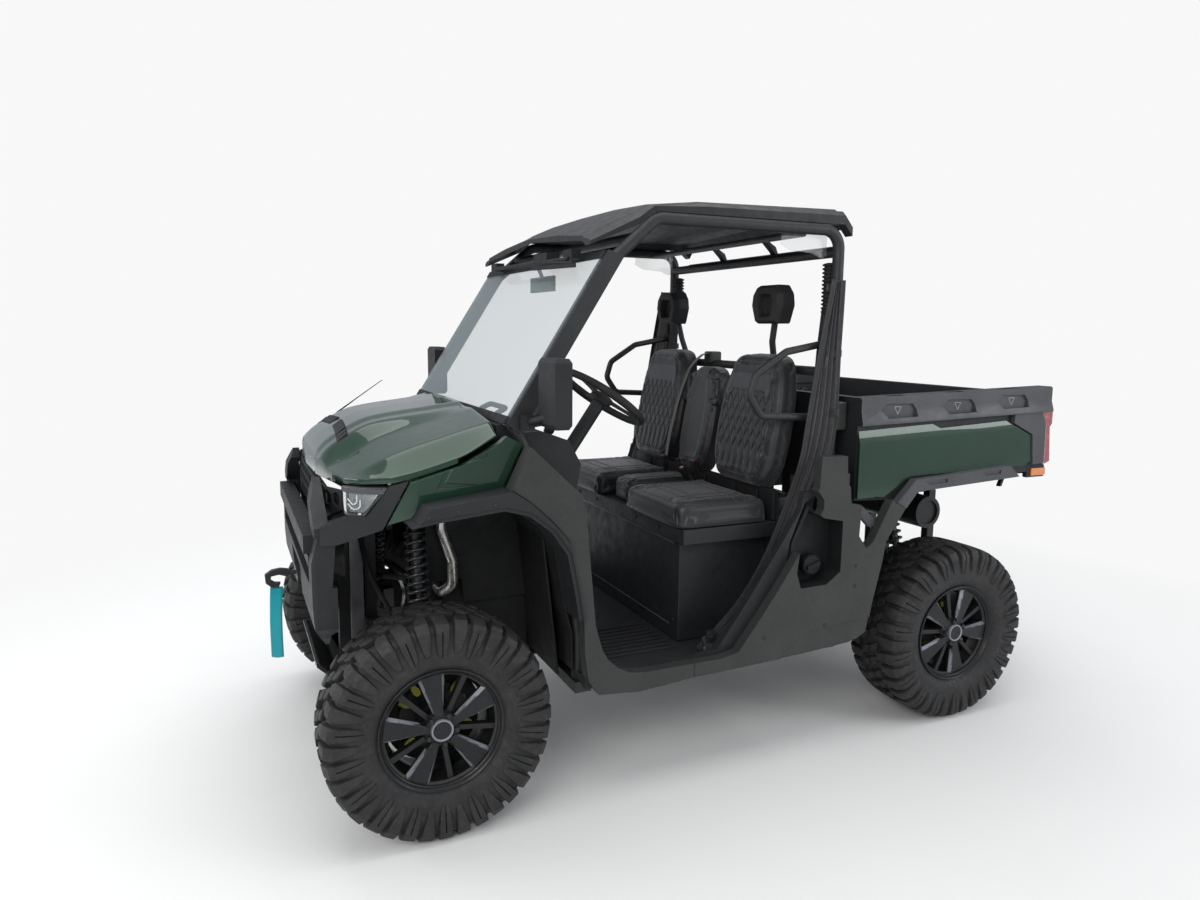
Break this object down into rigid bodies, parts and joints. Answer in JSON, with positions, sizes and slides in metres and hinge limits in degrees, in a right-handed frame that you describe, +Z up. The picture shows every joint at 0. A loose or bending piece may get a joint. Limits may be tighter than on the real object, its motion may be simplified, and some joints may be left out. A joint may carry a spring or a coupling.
{
  "type": "side by side utility vehicle",
  "caption": "Open side by side utility vehicle with a bench of three seats, roll cage, hard roof, front screen, lugged tyres and a tipping cargo bed with a drop tailgate.",
  "frame": {"origin": "middle of the vehicle's length and width, on the ground", "axes": "+X forward, +Y the vehicle's left, +Z up"},
  "size_m": [3.208, 1.724, 2.109],
  "materials": {
    "frame_steel": "black powder coat",
    "bright_steel": "worn bright metal",
    "cage_steel": "satin black powder coat",
    "black_plastic": "grained black moulding",
    "grey_plastic": "grained dark grey moulding",
    "trim_grey": "grained mid grey moulding",
    "green_paint": "gloss metallic dark green",
    "screen_glass": "clear hard-coated screen",
    "lamp_clear": "clear lamp lens over a black housing",
    "lamp_red": "red lamp lens",
    "radiator_aluminium": "dull core",
    "strap_webbing": "woven teal webbing",
    "rubber_grip": "soft black foam and rubber",
    "seat_vinyl": "black quilted vinyl",
    "net_fabric": "black mesh",
    "engine_metal": "cast metal",
    "alloy_black": "satin black alloy with bright edges",
    "tyre_rubber": "mud tread rubber"
  },
  "bodies": {
    "chassis": {"chassis_frame": "frame_steel", "roll_cage": "cage_steel", "roof_panel": "black_plastic", "windshield": "screen_glass", "fender_flares": "black_plastic", "wheel_liners": "black_plastic", "front_posts": "grey_plastic", "side_cowls": "green_paint", "front_bumper": "black_plastic", "grille": "black_plastic", "headlights": "lamp_clear", "radiator": "radiator_aluminium", "coolant_pipe": "bright_steel", "winch": "frame_steel", "winch_strap": "strap_webbing", "mirrors": "black_plastic", "floor_tub": "black_plastic", "dashboard": "black_plastic", "seat_base": "black_plastic", "seat_cushions": "seat_vinyl", "seat_backs": "seat_vinyl", "headrests": "rubber_grip", "seat_belts": "black_plastic", "side_nets": "net_fabric", "rear_quarters": "grey_plastic", "fuel_cap": "black_plastic", "power_unit": "engine_metal", "axle_drives": "engine_metal", "muffler": "frame_steel", "suspension_arms": "frame_steel", "shock_absorbers": "frame_steel", "rear_uprights": "engine_metal"},
    "wheel_front_left": {"rim_front_left": "alloy_black", "tyre_front_left": "tyre_rubber"},
    "wheel_front_right": {"rim_front_right": "alloy_black", "tyre_front_right": "tyre_rubber"},
    "wheel_rear_left": {"rim_rear_left": "alloy_black", "tyre_rear_left": "tyre_rubber"},
    "wheel_rear_right": {"rim_rear_right": "alloy_black", "tyre_rear_right": "tyre_rubber"},
    "steering_left": {"knuckle_left": "engine_metal"},
    "steering_right": {"knuckle_right": "engine_metal"},
    "hood": {"hood_lid": "green_paint"},
    "steering_wheel": {"steering_wheel": "rubber_grip"},
    "bed": {"bed_tub": "black_plastic", "bed_panels": "green_paint", "bed_arch_strips": "trim_grey", "tail_lamps": "lamp_red"},
    "tailgate": {"tailgate": "black_plastic"}
  },
  "joints": [
    {"name": "steer_left", "type": "hinge", "parent": "chassis", "child": "steering_left", "pos_m": [1.134, 0.62, 0.372], "axis": [0, 0, 1], "range_deg": [-28, 28]},
    {"name": "steer_right", "type": "hinge", "parent": "chassis", "child": "steering_right", "pos_m": [1.134, -0.62, 0.372], "axis": [0, 0, 1], "range_deg": [-28, 28]},
    {"name": "steering_wheel_turn", "type": "hinge", "parent": "chassis", "child": "steering_wheel", "pos_m": [0.404, 0.38, 1.377], "axis": [-0.5736, 0, 0.8192], "range_deg": [-252, 252]},
    {"name": "spin_front_left", "type": "hinge", "parent": "steering_left", "child": "wheel_front_left", "pos_m": [1.134, 0.693, 0.372], "axis": [0, 1, 0], "continuous": true},
    {"name": "spin_front_right", "type": "hinge", "parent": "steering_right", "child": "wheel_front_right", "pos_m": [1.134, -0.693, 0.372], "axis": [0, 1, 0], "continuous": true},
    {"name": "spin_rear_left", "type": "hinge", "parent": "chassis", "child": "wheel_rear_left", "pos_m": [-1.066, 0.667, 0.372], "axis": [0, 1, 0], "continuous": true},
    {"name": "spin_rear_right", "type": "hinge", "parent": "chassis", "child": "wheel_rear_right", "pos_m": [-1.066, -0.667, 0.372], "axis": [0, 1, 0], "continuous": true},
    {"name": "hood_open", "type": "hinge", "parent": "chassis", "child": "hood", "pos_m": [0.899, 0, 1.327], "axis": [0, -1, 0], "range_deg": [0, 50]},
    {"name": "bed_tilt", "type": "hinge", "parent": "chassis", "child": "bed", "pos_m": [-1.446, 0, 0.882], "axis": [0, -1, 0], "range_deg": [0, 45]},
    {"name": "tailgate_drop", "type": "hinge", "parent": "bed", "child": "tailgate", "pos_m": [-1.586, 0, 1.033], "axis": [0, -1, 0], "range_deg": [0, 90]}
  ],
  "couplings": [
    {"joint": "steer_right", "follows": "steer_left", "ratio": 1},
    {"joint": "steering_wheel_turn", "follows": "steer_left", "ratio": 9}
  ]
}
